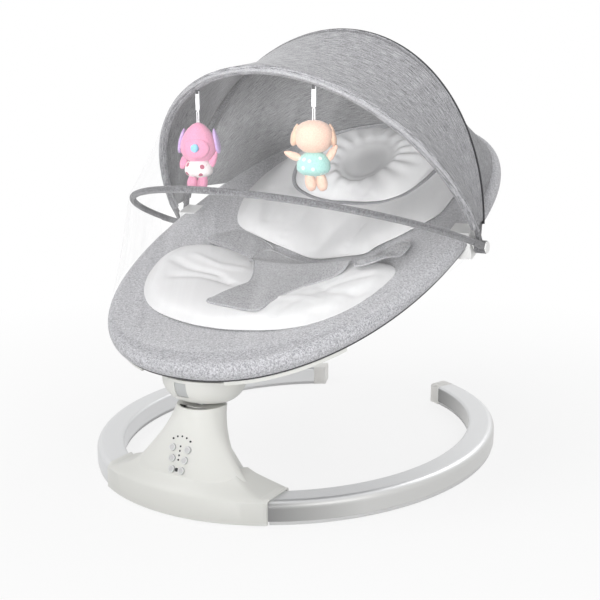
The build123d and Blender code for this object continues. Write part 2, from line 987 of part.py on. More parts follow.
def save_base():
    right_arm = base_arm()
    save("base_arm_right", right_arm)
    save("base_arm_left", mirror(right_arm, Plane.YZ))
    strip = foot_strip()
    save("foot_strip_right", strip)
    save("foot_strip_left", mirror(strip, Plane.YZ))
    cap = end_cap()
    save("arm_end_caps", Compound([cap, mirror(cap, Plane.YZ)]))
    outer = housing_outer()
    channel, room, floor_room = housing_hollow()
    save("pedestal_front_cover", front_cover(outer, channel, room))
    save("pedestal_rear_cover", rear_cover(channel, room))
    save("pedestal_base_plate", base_plate(floor_room))
    save("foot_pads", foot_pads())
    save("bearing_housing", bearing_housing())
    save("drive_coil", drive_coil())
    save("control_board", control_board(room))
    save("speaker", speaker(room))
    save("power_inlet", power_inlet())
    save("panel_lights", panel_lights(room))
    save("sensor_window", panel_rod(sensor_spot(), sensor_radius - running_gap, light_length, 0))
    rows = ("upper", "middle", "lower")
    sides = ("left", "right")
    for index, spot in enumerate(panel_spots()):
        name = "button_" + rows[index // 2] + "_" + sides[index % 2]
        save(name, panel_rod(spot, button_radius, button_length, button_proud))


def save_hub():
    save("swing_shaft", swing_shaft())
    save("drive_lever", drive_lever())
    save("hub_cup", hub_cup())
    save("latch_button", latch_button())
    save("cross_pin", cross_pin())


def save_seat():
    save("seat_frame", seat_frame())
    save("seat_bracket", seat_bracket())
    save("seat_sling", seat_sling())
    save("lower_pad", lower_pad())
    save("body_pad", body_pad())
    save("head_pillow", head_pillow())
    save("crotch_pad", crotch_pad())
    save("harness_strap_left", harness_strap(-1))
    save("harness_strap_right", harness_strap(1))
    save("canopy_bracket_left", canopy_bracket(-1))
    save("canopy_bracket_right", canopy_bracket(1))


def save_canopy():
    save("rear_bow", bow(rear_angle, rear_half(), bow_rise))
    save("front_bow", bow(front_angle, bow_half_width, bow_rise))
    save("net_bow", bow(net_angle, net_half(), net_bow_rise))
    save("canopy_fabric", canopy_fabric())
    save("canopy_back", canopy_back())
    save("net_upper", net_upper())
    save("net_lower", net_lower())
    for name, x in (("left", left_toy_x), ("right", right_toy_x)):
        for piece, shape in toy_pieces(x).items():
            save("toy_" + name + "_" + piece, shape)


save_base()
save_hub()
save_seat()
save_canopy()
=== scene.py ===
# %% [markdown]
# # A baby swing, dressed over its CAD frame
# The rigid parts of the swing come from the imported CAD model. This script loads them as a fixed frame,
# gives every one of them a finish, and models the soft parts: the padded seat cover, the cushions, the
# harness, the canopy, the sheer net and the hanging plush toys. Everything is in metres, with Z up.

import json
import math

import bpy
import numpy as np
from mathutils import Matrix, Vector, noise

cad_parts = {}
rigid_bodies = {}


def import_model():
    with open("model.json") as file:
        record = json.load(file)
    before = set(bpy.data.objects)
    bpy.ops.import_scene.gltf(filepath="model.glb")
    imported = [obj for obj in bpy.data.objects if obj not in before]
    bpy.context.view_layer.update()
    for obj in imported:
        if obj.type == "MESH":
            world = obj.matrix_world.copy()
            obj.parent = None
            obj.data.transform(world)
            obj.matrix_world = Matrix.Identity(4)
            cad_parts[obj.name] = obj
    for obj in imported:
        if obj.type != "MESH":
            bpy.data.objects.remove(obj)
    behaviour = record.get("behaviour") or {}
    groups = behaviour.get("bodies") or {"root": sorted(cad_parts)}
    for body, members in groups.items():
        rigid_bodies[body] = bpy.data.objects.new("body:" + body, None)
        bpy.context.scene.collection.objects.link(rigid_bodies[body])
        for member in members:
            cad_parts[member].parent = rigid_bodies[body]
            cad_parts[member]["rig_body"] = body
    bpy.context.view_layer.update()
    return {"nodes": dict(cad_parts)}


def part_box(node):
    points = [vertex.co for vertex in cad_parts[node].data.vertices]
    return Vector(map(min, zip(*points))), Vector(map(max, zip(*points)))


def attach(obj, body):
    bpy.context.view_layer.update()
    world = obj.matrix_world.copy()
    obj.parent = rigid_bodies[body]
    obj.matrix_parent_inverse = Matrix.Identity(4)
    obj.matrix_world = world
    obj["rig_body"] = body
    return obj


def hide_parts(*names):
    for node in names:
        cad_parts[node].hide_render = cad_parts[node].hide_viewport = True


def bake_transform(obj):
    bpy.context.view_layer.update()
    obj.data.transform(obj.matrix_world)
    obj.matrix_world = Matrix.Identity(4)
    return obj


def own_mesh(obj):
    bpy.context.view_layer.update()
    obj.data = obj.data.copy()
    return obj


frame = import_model()
nodes = frame["nodes"]

# %% [markdown]
# ## Camera
# The picture was taken from the right of the foot end, a little above the seat. The lens is long, so
# the oval of the seat keeps its shape. The camera was fitted to the ring on the floor, and it is made
# first because all later choices are looked at through it. Sizes are measured from the middle of the
# ring. The pack centres the whole box, which moves the ring by shift_y.

# %% Camera
shift_y = -0.0396
camera_spot = (0.71611, -1.24355 + shift_y, 0.51347)
camera_down, camera_turn = 11.91, 30
camera_data = bpy.data.cameras.new("camera")
camera_data.lens = 60
camera_data.sensor_width = 36
camera = bpy.data.objects.new("camera", camera_data)
camera.location = camera_spot
camera.rotation_euler = (math.radians(90 - camera_down), 0, math.radians(camera_turn))
bpy.context.scene.collection.objects.link(camera)
bpy.context.scene.camera = camera
print("camera at", tuple(round(v, 3) for v in camera.location))

# %% [markdown]
# ## First helpers
# Every piece starts as a primitive with nothing else selected. Materials are built from the same few
# nodes: these helpers add a node, combine two values, rescale a value to a new range and mix two
# shaders, so that each finish below is only a few lines. A setting of a node that is written with a
# capital is one of its sockets.


# %% First helpers
def begin(name, primitive, **sizes):
    bpy.ops.object.select_all(action="DESELECT")
    primitive(**sizes)
    piece = bpy.context.object
    piece.name = name
    return piece


def new_material(name):
    material = bpy.data.materials.new(name)
    material.use_nodes = True
    tree = material.node_tree
    tree.nodes.clear()
    return material, tree, tree.nodes.new("ShaderNodeOutputMaterial")


def add_node(tree, kind, **values):
    made = tree.nodes.new("ShaderNode" + kind)
    for key, value in values.items():
        if key[0].isupper():
            made.inputs[key.replace("_", " ")].default_value = value
        else:
            setattr(made, key, value)
    return made


def coordinate(tree, source="Object"):
    return add_node(tree, "TexCoord").outputs[source]


def combine(tree, operation, first, second, clamp=False):
    made = add_node(tree, "Math", operation=operation, use_clamp=clamp)
    for socket, value in zip(made.inputs, (first, second)):
        if isinstance(value, float):
            socket.default_value = value
        else:
            tree.links.new(value, socket)
    return made.outputs[0]


def rescale(tree, value, start=0.0, end=1.0, low=0.0, high=1.0):
    made = add_node(tree, "MapRange", From_Min=start, From_Max=end, To_Min=low, To_Max=high)
    tree.links.new(value, made.inputs["Value"])
    return made.outputs[0]


def mix_shaders(tree, share, first, second, out):
    mix = add_node(tree, "MixShader")
    for socket, value in zip(mix.inputs, (share, first.outputs[0], second.outputs[0])):
        tree.links.new(value, socket)
    tree.links.new(mix.outputs[0], out.inputs["Surface"])


def seen_ray(tree):
    path = add_node(tree, "LightPath")
    direct = combine(tree, "ADD", path.outputs["Is Camera Ray"], path.outputs["Is Glossy Ray"])
    return combine(tree, "ADD", direct, path.outputs["Is Transmission Ray"], clamp=True)


# %% [markdown]
# ## Floor and light
# A wide pale sweep carries the swing. Seen by the camera it is nearly white, and it still takes a
# faint shadow under the ring. Three large soft lamps and a pale sky light the object at a level where
# a colour comes out about as it is written. A narrow lamp with a soft edge reaches under the hood.

# %% Floor and light
white = (1, 1, 1, 1)
floor_white, tree, out = new_material("floor_white")
lit = add_node(tree, "BsdfDiffuse", Color=(0.82, 0.82, 0.82, 1))
glow = add_node(tree, "Emission", Color=white)
away = add_node(tree, "VectorMath", operation="LENGTH")
tree.links.new(coordinate(tree), away.inputs[0])
whiter = rescale(tree, away.outputs["Value"], 0.3, 1.1, 0.82, 1.0)
mix_shaders(tree, combine(tree, "MULTIPLY", seen_ray(tree), whiter), lit, glow, out)

floor = begin("floor", bpy.ops.mesh.primitive_plane_add, size=14, location=(0, 0, -0.0006))
floor.data.materials.append(floor_white)

world = bpy.data.worlds.new("sky")
bpy.context.scene.world = world
world.use_nodes = True
tree = world.node_tree
tree.nodes.clear()
out = tree.nodes.new("ShaderNodeOutputWorld")
sky = add_node(tree, "Background", Color=white, Strength=0.56)
seen_sky = add_node(tree, "Background", Color=white)
mix_shaders(tree, seen_ray(tree), sky, seen_sky, out)


def soft_lamp(name, place, target, size, watts, cone=None):
    data = bpy.data.lights.new(name, "SPOT" if cone else "AREA")
    data.energy = watts
    if cone:
        data.shadow_soft_size = size
        data.spot_size = math.radians(cone)
        data.spot_blend = 1.0
    else:
        data.size = size
    lamp = bpy.data.objects.new(name, data)
    lamp.location = place
    lamp.rotation_euler = (Vector(target) - Vector(place)).to_track_quat("-Z", "Y").to_euler()
    bpy.context.scene.collection.objects.link(lamp)


soft_lamp("key_lamp", (-1.5, -1.5, 2.5), (0, 0, 0.3), 1.6, 27)
soft_lamp("fill_lamp", (2.2, -1.6, 1.5), (0, 0, 0.3), 1.8, 15)
soft_lamp("back_lamp", (0.6, 2.2, 2.2), (0, 0, 0.4), 1.6, 14)
soft_lamp("hood_lamp", (0.6, -2.4, 0.64), (0, 0.16, 0.48), 0.35, 430, 19)
bpy.context.scene.view_settings.view_transform = "Standard"
print("floor, sky and four lamps")

# %% [markdown]
# ## Finishes: moulded plastic and metal
# The pedestal and hub are a warm white plastic with a fine spark texture. The ring is an aluminium
# extrusion with a blasted, satin skin. Its colour holds painted shade and a painted reflection, dark on
# its flank near the pedestal, and painted light on its top and its far side. Each finish is a small node
# tree on Object coordinates: a noise for the slight change of tone, and a finer one for the bump.


# %% Plastic and metal
def principled(name, color, roughness, **inputs):
    material, tree, out = new_material(name)
    shader = add_node(tree, "BsdfPrincipled", Base_Color=(*color, 1), Roughness=roughness, **inputs)
    tree.links.new(shader.outputs[0], out.inputs["Surface"])
    return material, tree, shader


def object_noise(tree, scale, detail=2.0, stretch=(1, 1, 1), source="Object"):
    place = add_node(tree, "Mapping", Scale=stretch)
    grain = add_node(tree, "TexNoise", Scale=scale, Detail=detail)
    tree.links.new(coordinate(tree, source), place.inputs["Vector"])
    tree.links.new(place.outputs[0], grain.inputs["Vector"])
    return grain.outputs["Fac"]


def ramp_color(tree, factor, low, high, start=0.3, end=0.7):
    ramp = add_node(tree, "ValToRGB")
    for stop, place, color in zip(ramp.color_ramp.elements, (start, end), (low, high)):
        stop.position = place
        stop.color = (*color, 1)
    tree.links.new(factor, ramp.inputs[0])
    return ramp.outputs[0]


def paint_over(tree, share, under, color):
    paint = add_node(tree, "Mix", data_type="RGBA")
    tree.links.new(share, paint.inputs[0])
    tree.links.new(under, paint.inputs[6])
    paint.inputs[7].default_value = (*color, 1)
    return paint.outputs[2]


def darker(color, share):
    return tuple(c * share for c in color)


def add_surface(tree, shader, tone, height, strength, distance):
    if tone:
        tree.links.new(tone, shader.inputs["Base Color"])
    bump = add_node(tree, "Bump", Strength=strength, Distance=distance)
    tree.links.new(height, bump.inputs["Height"])
    tree.links.new(bump.outputs[0], shader.inputs["Normal"])


def moulded(name, color, roughness):
    material, tree, shader = principled(name, color, roughness)
    tone = ramp_color(tree, object_noise(tree, 6, 3), darker(color, 0.97), color)
    rough = rescale(tree, object_noise(tree, 90, 3), low=roughness - 0.05, high=roughness + 0.08)
    tree.links.new(rough, shader.inputs["Roughness"])
    add_surface(tree, shader, tone, object_noise(tree, 1500, 2), 0.12, 0.00006)
    return material


def brushed(name, color, roughness, stretch):
    material, tree, shader = principled(name, color, roughness, Metallic=1.0)
    lines = object_noise(tree, 60, 4, stretch)
    tone = ramp_color(tree, lines, darker(color, 0.93), color)
    rough = rescale(tree, lines, low=roughness - 0.06, high=roughness + 0.08)
    tree.links.new(rough, shader.inputs["Roughness"])
    add_surface(tree, shader, tone, lines, 0.1, 0.0001)
    return material


def metal_with_painted_shade(name):
    material, tree, shader = principled(name, (0.6, 0.6, 0.6), 0.36, Metallic=0.85)
    parts = add_node(tree, "SeparateXYZ")
    tree.links.new(coordinate(tree), parts.inputs[0])
    across, up = parts.outputs["X"], parts.outputs["Z"]
    # Painted shade and a painted reflection: the flank is dark near the pedestal and lighter to the right.
    side = rescale(tree, across, 0.10, 0.25)
    shade = ramp_color(tree, side, (0.20, 0.20, 0.20), (0.62, 0.62, 0.61), 0.05, 0.75)
    # Painted light: the top face and the far side are made pale.
    top = rescale(tree, up, 0.0262, 0.0285)
    left = rescale(tree, across, 0.02, -0.02)
    tone = paint_over(tree, combine(tree, "MAXIMUM", top, left), shade, (0.70, 0.705, 0.71))
    add_surface(tree, shader, tone, object_noise(tree, 1500, 2), 0.35, 0.0003)
    return material


housing_white = moulded("housing_white", (0.73, 0.73, 0.698), 0.36)
hub_white = moulded("hub_white", (0.70, 0.70, 0.67), 0.38)
bracket_white = moulded("bracket_white", (0.82, 0.82, 0.81), 0.34)
button_grey = moulded("button_grey", (0.58, 0.58, 0.58), 0.4)
rim_grey = moulded("rim_grey", (0.74, 0.74, 0.74), 0.4)
latch_grey = moulded("latch_grey", (0.46, 0.47, 0.47), 0.42)
dark_plastic = moulded("dark_plastic", (0.025, 0.025, 0.028), 0.4)
light_dark = moulded("light_dark", (0.03, 0.03, 0.035), 0.25)
cap_white = moulded("cap_white", (0.84, 0.83, 0.80), 0.42)
foot_grey = moulded("foot_grey", (0.72, 0.72, 0.72), 0.6)
board_green = moulded("board_green", (0.05, 0.2, 0.09), 0.5)
coil_copper = brushed("coil_copper", (0.72, 0.36, 0.18), 0.35, (1, 1, 40))
# The ring's colour holds painted shade, a painted reflection and painted light.
ring_aluminium = metal_with_painted_shade("ring_aluminium")
tube_steel = brushed("tube_steel", (0.62, 0.62, 0.64), 0.3, (1, 1, 6))

finish_of = {
    ring_aluminium: ["base_arm_left", "base_arm_right"],
    cap_white: ["arm_end_caps"],
    foot_grey: ["foot_strip_left", "foot_strip_right", "foot_pads"],
    housing_white: ["pedestal_front_cover", "pedestal_rear_cover", "pedestal_base_plate", "bearing_housing"],
    hub_white: ["hub_cup", "seat_bracket", "drive_lever"],
    bracket_white: ["canopy_bracket_left", "canopy_bracket_right"],
    tube_steel: ["swing_shaft", "cross_pin", "seat_frame"],
    coil_copper: ["drive_coil"],
    board_green: ["control_board"],
    dark_plastic: ["speaker", "power_inlet", "sensor_window"],
    light_dark: ["panel_lights"],
    latch_grey: ["latch_button"],
    button_grey: [name for name in nodes if name.startswith("button_")],
}


def dress(node, material):
    node.data.materials.clear()
    node.data.materials.append(material)


for material, names in finish_of.items():
    for name in names:
        dress(nodes[name], material)
print("rigid nodes finished:", sum(len(names) for names in finish_of.values()))

# %% [markdown]
# ## Small tools for every piece
# A piece is selected alone before it is worked on. When it is ready, it gets its material and the body that
# it moves with, and the CAD nodes that it replaces are hidden.


# %% Piece helpers
def only(piece):
    bpy.ops.object.select_all(action="DESELECT")
    piece.select_set(True)
    bpy.context.view_layer.objects.active = piece


def edit_all():
    bpy.ops.object.mode_set(mode="EDIT")
    bpy.ops.mesh.select_all(action="SELECT")


def apply_modifier(piece, kind, **values):
    only(piece)
    made = piece.modifiers.new(kind.lower(), kind)
    for key, value in values.items():
        setattr(made, key, value)
    bpy.ops.object.modifier_apply(modifier=made.name)


def settle(piece, body, slot, material, *replaced):
    dress(piece, material)
    if body:
        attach(piece, body)
    if replaced:
        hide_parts(*replaced)
    print(piece.name, len(piece.data.polygons), "faces")


# %% [markdown]
# ## Button rims
# Each button is a small dish with a raised rim. A torus is added at the button's own front face, turned to
# the slope of the panel, flattened a little, and moves with the button when it is pressed.

# %% Button rims
panel_rise = 0.357
panel_lean = math.atan2(1, panel_rise)
out_way = Vector((0, -1, panel_rise)).normalized()
rim_radius, rim_thick, rim_flat = 0.0038, 0.0006, 0.8
for name in sorted(name for name in nodes if name.startswith("button_")):
    low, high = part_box(name)
    middle = (low + high) / 2
    front = max(point.co.dot(out_way) for point in nodes[name].data.vertices)
    rim = begin(
        "rim_" + name, bpy.ops.mesh.primitive_torus_add,
        major_radius=rim_radius, minor_radius=rim_thick, major_segments=40, minor_segments=12,
    )
    rim.scale = (1, 1, rim_flat)
    rim.rotation_euler = (panel_lean, 0, 0)
    rim.location = middle + out_way * (front - middle.dot(out_way))
    bpy.ops.object.transform_apply(location=True, rotation=True, scale=True)
    bpy.ops.object.shade_smooth()
    settle(rim, nodes[name]["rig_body"], "grey_plastic", rim_grey)

# %% [markdown]
# ## Pedestal skirt
# The front of the pedestal flows from the floor ring up to the neck without a step. The skirt starts as a
# circle stretched to the outside of the ring, is widened to a band, and is cut off at both ends of the
# housing. The band is then pulled up row by row. Each row is narrower than the last and leans back, so
# the two wings run up to the tower in a hollow curve. A row gives height, half width, front and depth.

# %% Pedestal skirt
ring_outside, ring_inside = (0.2836, 0.3296), (0.2364, 0.2824)
skirt_half, skirt_foot = 0.1216, 0.004
skirt_rows = [
    (0.0295, 0.1216, -0.3296, 1.0), (0.0325, 0.1140, -0.3283, 0.97), (0.0355, 0.1045, -0.3255, 0.92),
    (0.0390, 0.0950, -0.3208, 0.84), (0.0430, 0.0872, -0.3145, 0.73), (0.0465, 0.0810, -0.3096, 0.64),
    (0.0530, 0.0720, -0.3045, 0.54),
]
skirt_cuts = (((skirt_half, 0, 0), (1, 0, 0)), ((-skirt_half, 0, 0), (-1, 0, 0)), ((0, 0, 0), (0, 1, 0)))
skirt = begin("pedestal_skirt", bpy.ops.mesh.primitive_circle_add, vertices=180, radius=1)
edit_all()
bpy.ops.transform.resize(value=(*ring_outside, 1), center_override=(0, 0, 0))
bpy.ops.mesh.extrude_region_move(TRANSFORM_OT_translate={"value": (0, 0, 0)})
narrower = [inner / outer for inner, outer in zip(ring_inside, ring_outside)]
bpy.ops.transform.resize(value=(*narrower, 1), center_override=(0, 0, 0))
for spot, way in skirt_cuts:
    bpy.ops.mesh.select_all(action="SELECT")
    bpy.ops.mesh.bisect(plane_co=spot, plane_no=way, clear_outer=True)
bpy.ops.mesh.select_all(action="SELECT")
bpy.ops.transform.translate(value=(0, shift_y, skirt_foot))
last = (skirt_foot, skirt_half, -ring_outside[1], 1.0)
for height, half, front, depth in skirt_rows:
    bpy.ops.mesh.extrude_region_move(
        TRANSFORM_OT_translate={"value": (0, front - last[2], height - last[0])}
    )
    bpy.ops.transform.resize(
        value=(half / last[1], depth / last[3], 1), center_override=(0, front + shift_y, 0)
    )
    last = (height, half, front, depth)
bpy.ops.mesh.select_all(action="SELECT")
bpy.ops.mesh.normals_make_consistent(inside=False)
bpy.ops.object.mode_set(mode="OBJECT")
apply_modifier(
    skirt, "BEVEL", width=0.0022, segments=3, limit_method="ANGLE", angle_limit=math.radians(50)
)
bpy.ops.object.shade_smooth_by_angle(angle=math.radians(42))
settle(skirt, "base", "white_plastic", housing_white)

# %% [markdown]
# ## Finishes: cloth
# The seat cover is a woven melange: pale and dark grey threads in one cloth, seen as a fine speckle.
# The canopy has the same yarn in a coarser, streaky weave. The cushions are a soft white cotton. The
# speckle is two stretched noises that cross like warp and weft, and the same threads give the bump.


# %% Cloth
def melange(name, low, high, thread, slub):
    material, tree, shader = principled(name, high, 0.92, Sheen_Weight=0.18, Sheen_Roughness=0.5)
    warp = object_noise(tree, thread, 2, (1, slub, 1))
    weft = object_noise(tree, thread, 2, (slub, 1, slub))
    weave = combine(tree, "MULTIPLY", combine(tree, "ADD", warp, weft), 0.5)
    add_surface(tree, shader, ramp_color(tree, weave, low, high, 0.38, 0.62), weave, 0.35, 0.0006)
    return material


def cotton(name, color):
    material, tree, shader = principled(name, color, 0.88, Sheen_Weight=0.12, Sheen_Roughness=0.5)
    tone = ramp_color(tree, object_noise(tree, 14, 3), darker(color, 0.955), color)
    add_surface(tree, shader, tone, object_noise(tree, 900, 3), 0.25, 0.0003)
    return material


def linen(name, low, high):
    material, tree, shader = principled(name, high, 0.92, Sheen_Weight=0.15, Sheen_Roughness=0.5)
    long_yarn = object_noise(tree, 1.0, 3, (42, 150, 1), source="UV")
    short_yarn = object_noise(tree, 1.0, 2, (260, 170, 1), source="UV")
    both = add_node(tree, "Mix", data_type="FLOAT")
    both.inputs[0].default_value = 0.38
    tree.links.new(long_yarn, both.inputs[2])
    tree.links.new(short_yarn, both.inputs[3])
    yarn = both.outputs[0]
    add_surface(tree, shader, ramp_color(tree, yarn, low, high, 0.36, 0.64), yarn, 0.4, 0.0006)
    return material


seat_melange = melange("seat_melange", (0.265, 0.265, 0.28), (0.595, 0.595, 0.62), 760, 0.4)
harness_melange = melange("harness_melange", (0.19, 0.19, 0.20), (0.43, 0.43, 0.445), 760, 0.4)
canopy_melange = linen("canopy_melange", (0.065, 0.065, 0.071), (0.45, 0.45, 0.468))
lining_grey = linen("lining_grey", (0.14, 0.14, 0.145), (0.51, 0.51, 0.52))
dark_line_under_rim = cotton("dark_line_under_rim", (0.06, 0.06, 0.065))
sleeve_melange = melange("sleeve_melange", (0.085, 0.085, 0.09), (0.24, 0.24, 0.25), 900, 0.5)
binding_grey = melange("binding_grey", (0.25, 0.25, 0.265), (0.44, 0.44, 0.455), 900, 0.6)
piping_dark = melange("piping_dark", (0.012, 0.012, 0.014), (0.03, 0.03, 0.034), 900, 0.6)
trim_grey = melange("trim_grey", (0.17, 0.17, 0.18), (0.27, 0.27, 0.285), 800, 0.6)
webbing_white = melange("webbing_white", (0.72, 0.72, 0.74), (0.86, 0.86, 0.88), 900, 0.4)
pad_white = cotton("pad_white", (0.74, 0.74, 0.745))
pillow_white = cotton("pillow_white", (0.76, 0.76, 0.765))
print("cloth finishes ready")

# %% [markdown]
# ## The seat as a surface
# Every soft piece of the seat lies on the same shallow bowl, so its height is written once. The place
# on the seat is given by x across, v up the slope and w away from it, and the bowl falls from the oval
# tube towards its middle.

# %% Seat surface
seat_height = 0.2952
seat_slope = math.radians(20.46)
rim_half, rim_foot, rim_head, rim_mid, rim_power = 0.227, -0.322, 0.424, 0.0587, 2.3
rim_inset = 0.012
cover_radius = 0.0126
bowl_lip, bowl_drop, bowl_curve = 0.013, 0.062, 1.25


def seat_point(x, v, w):
    y = v * math.cos(seat_slope) - w * math.sin(seat_slope)
    z = v * math.sin(seat_slope) + w * math.cos(seat_slope)
    return Vector((x, y + shift_y, z + seat_height))


def seat_place(point):
    y, z = point.y - shift_y, point.z - seat_height
    v = y * math.cos(seat_slope) + z * math.sin(seat_slope)
    w = -y * math.sin(seat_slope) + z * math.cos(seat_slope)
    return point.x, v, w


def rim_reach(v, inset):
    return (rim_head - rim_mid if v > rim_mid else rim_mid - rim_foot) - inset


def bowl_share(x, v):
    across = abs(x) / (rim_half - rim_inset)
    along = abs(v - rim_mid) / rim_reach(v, rim_inset)
    return (across**rim_power + along**rim_power) ** (1 / rim_power)


def bowl(x, v):
    return bowl_lip - bowl_drop * max(0.0, 1 - bowl_share(x, v)) ** bowl_curve


def rim_place(turn):
    c, s = math.cos(turn), math.sin(turn)
    x = rim_half * math.copysign(abs(c) ** (2 / rim_power), c)
    v = rim_mid + rim_reach(rim_mid + s, 0) * math.copysign(abs(s) ** (2 / rim_power), s)
    return Vector((x, v))


def rim_outward(turn):
    step = rim_place(turn + 0.004) - rim_place(turn - 0.004)
    return Vector((step.y, -step.x)).normalized()


print("bowl depth in the middle:", round(bowl(0, rim_mid), 4))

# %% [markdown]
# ## A cloth starts as a grid
# A grid primitive is the natural start for cloth: it is flat, even, and has a UV map that stays with
# the weave. Each of its points is then moved to its place, doubles are merged where edges meet, and
# the faces are turned outwards.


# %% Grid helpers
def grid_piece(name, columns, rows, place):
    piece = begin(
        name, bpy.ops.mesh.primitive_grid_add,
        x_subdivisions=columns, y_subdivisions=rows, size=2, calc_uvs=True,
    )
    rows_of = piece.data.attributes.new("row_share", "FLOAT", "POINT")
    for point in piece.data.vertices:
        rows_of.data[point.index].value = (point.co.y + 1) / 2
        point.co = place((point.co.x + 1) / 2, (point.co.y + 1) / 2)
    edit_all()
    bpy.ops.mesh.remove_doubles(threshold=0.00002)
    bpy.ops.mesh.normals_make_consistent(inside=False)
    bpy.ops.object.mode_set(mode="OBJECT")
    bpy.ops.object.shade_smooth()
    return piece


def smooth_step(value, low, high):
    share = min(1.0, max(0.0, (value - low) / (high - low)))
    return share * share * (3 - 2 * share)


def closed_line(points, count):
    points = np.array(points, float)
    n = len(points)
    found = []
    for k in range(count):
        at = k * n / count
        i = int(at)
        f = at - i
        a, b, c, d = (points[(i + j) % n] for j in (-1, 0, 1, 2))
        found.append(
            0.5 * (2 * b + (c - a) * f + (2 * a - 5 * b + 4 * c - d) * f * f + (3 * b - a - 3 * c + d) * f**3)
        )
    return np.array(found)


# %% [markdown]
# ## Padded seat cover
# The cover is one sewn piece. It starts in the middle of the bowl, rises to the oval tube, rolls over
# it and comes back underneath as the sling that carries the child. The border is lightly padded, so it
# swells between the tube and the cushions. It is a closed sleeve around the tube, so it is drawn as a
# profile that runs round the rim.

# %% Seat cover
roll_begins, roll_ends = 0.46, 0.72
top_angle, under_angle = math.radians(100), math.radians(-112)
border_puff = 0.0025
sling_lift = 0.014


def cover_place(u, v):
    turn = u * math.tau
    centre, outward = rim_place(turn), rim_outward(turn)
    if roll_begins <= v < roll_ends:
        along = (v - roll_begins) / (roll_ends - roll_begins)
        angle = top_angle + (under_angle - top_angle) * along
        spot = centre + outward * (cover_radius * math.cos(angle))
        return seat_point(spot.x, spot.y, cover_radius * math.sin(angle))
    on_top = v < roll_begins
    angle = top_angle if on_top else under_angle
    reach = v / roll_begins if on_top else 1 - (v - roll_ends) / (1 - roll_ends)
    edge = centre + outward * (cover_radius * math.cos(angle))
    middle = Vector((0, rim_mid))
    spot = middle + (edge - middle) * reach
    height = cover_radius * math.sin(angle)
    fall = (1 - reach) ** bowl_curve
    if on_top:
        puff = border_puff * smooth_step(1 - reach, 0.0, 0.06) * (1 - smooth_step(1 - reach, 0.1, 0.22))
        return seat_point(spot.x, spot.y, height - bowl_drop * fall + puff)
    return seat_point(spot.x, spot.y, height - (bowl_drop - sling_lift) * fall)


seat_cover = grid_piece("seat_cover", 220, 90, cover_place)
settle(seat_cover, "seat", "grey_melange", seat_melange, "seat_sling")

# %% [markdown]
# A thin cord runs under the cover all round, where the cloth is gathered below the tube, and its near-black
# colour makes the dark line under the rim. It is a thin tube along the rim, so a grid is rolled round the
# rim's line.


# %% Hem cord
def tube_along(name, line, radius, sides=8):
    outs, ups = [], []
    out_way = None
    for i in range(len(line)):
        ahead = (line[min(i + 1, len(line) - 1)] - line[max(i - 1, 0)]).normalized()
        guess = ahead.orthogonal() if out_way is None else out_way
        out_way = (guess - ahead * guess.dot(ahead)).normalized()
        outs.append(out_way)
        ups.append(ahead.cross(out_way))

    def place(u, v):
        i = int(round(u * (len(line) - 1)))
        angle = v * math.tau
        return line[i] + radius * (outs[i] * math.cos(angle) + ups[i] * math.sin(angle))

    return grid_piece(name, len(line) - 1, sides, place)


hem_angle, hem_gap, hem_steps = math.radians(-62), 0.0004, 200
hem_line = []
for k in range(hem_steps + 1):
    turn = k / hem_steps * math.tau
    spot = rim_place(turn) + rim_outward(turn) * (cover_radius * math.cos(hem_angle))
    hem_line.append(seat_point(spot.x, spot.y, (cover_radius + hem_gap) * math.sin(hem_angle)))
hem_cord = tube_along("hem_cord", hem_line, 0.0016)
settle(hem_cord, "seat", "grey_melange", dark_line_under_rim)

# %% [markdown]
# ## Cushions
# Each cushion is cut to an outline, sewn at its edge and filled. A closed grid is drawn over the
# outline, from the middle to the edge on top and back again below. Then it is blown up by a short cloth
# simulation, so that it swells as a filled pad does. Folds and sewn lines come after that, as small
# moves of its points.


# %% Cushion helpers
def cushion(name, outline, middle, top, bottom, spokes=120, rings=64):
    line = closed_line(outline, spokes) / 1000
    middle = (middle[0] / 1000, middle[1] / 1000)

    def place(u, v):
        edge = line[int(round(u * spokes)) % spokes]
        share = min(v, 1 - v) * 2
        reach = math.sin(share * math.pi / 2)
        x = middle[0] + (edge[0] - middle[0]) * reach
        s = middle[1] + (edge[1] - middle[1]) * reach
        height = top(x, s, reach) if v <= 0.5 else bottom(x, s)
        if share == 1:
            height = (top(x, s, 1) + bottom(x, s)) / 2
        return seat_point(x, s, height)

    return grid_piece(name, spokes, rings, place)


cloth_settings = {
    "use_pressure": True, "uniform_pressure_force": 4.0, "tension_stiffness": 12,
    "compression_stiffness": 12, "bending_stiffness": 0.6,
}
cloth_frames = 20
swell_cap = 0.004


def blow_up(piece):
    before = np.array([p.co for p in piece.data.vertices])
    only(piece)
    cloth = piece.modifiers.new("cloth", "CLOTH")
    for key, value in cloth_settings.items():
        setattr(cloth.settings, key, value)
    cloth.settings.effector_weights.gravity = 0
    cloth.point_cache.frame_start = 1
    cloth.point_cache.frame_end = cloth_frames
    for step in range(1, cloth_frames + 1):
        bpy.context.scene.frame_set(step)
    bpy.ops.object.modifier_apply(modifier=cloth.name)
    bpy.context.scene.frame_set(1)
    move = np.array([p.co for p in piece.data.vertices]) - before
    far = np.linalg.norm(move, axis=1)
    move *= np.minimum(1, swell_cap / np.maximum(far, 1e-9))[:, None]
    piece.data.vertices.foreach_set("co", (before + move).ravel())
    piece.data.update()
    apply_modifier(piece, "SMOOTH", factor=0.5, iterations=6)
    bpy.ops.object.shade_smooth()
    print(piece.name, "swelled by", round(float(np.minimum(far, swell_cap).mean()) * 1000, 1), "mm")


def line_distance(x, v, line):
    best = 1e9
    for (ax, av), (bx, bv) in zip(line[:-1], line[1:]):
        dx, dv = bx - ax, bv - av
        f = max(0.0, min(1.0, ((x - ax) * dx + (v - av) * dv) / (dx * dx + dv * dv)))
        best = min(best, math.hypot(x - ax - f * dx, v - av - f * dv))
    return best


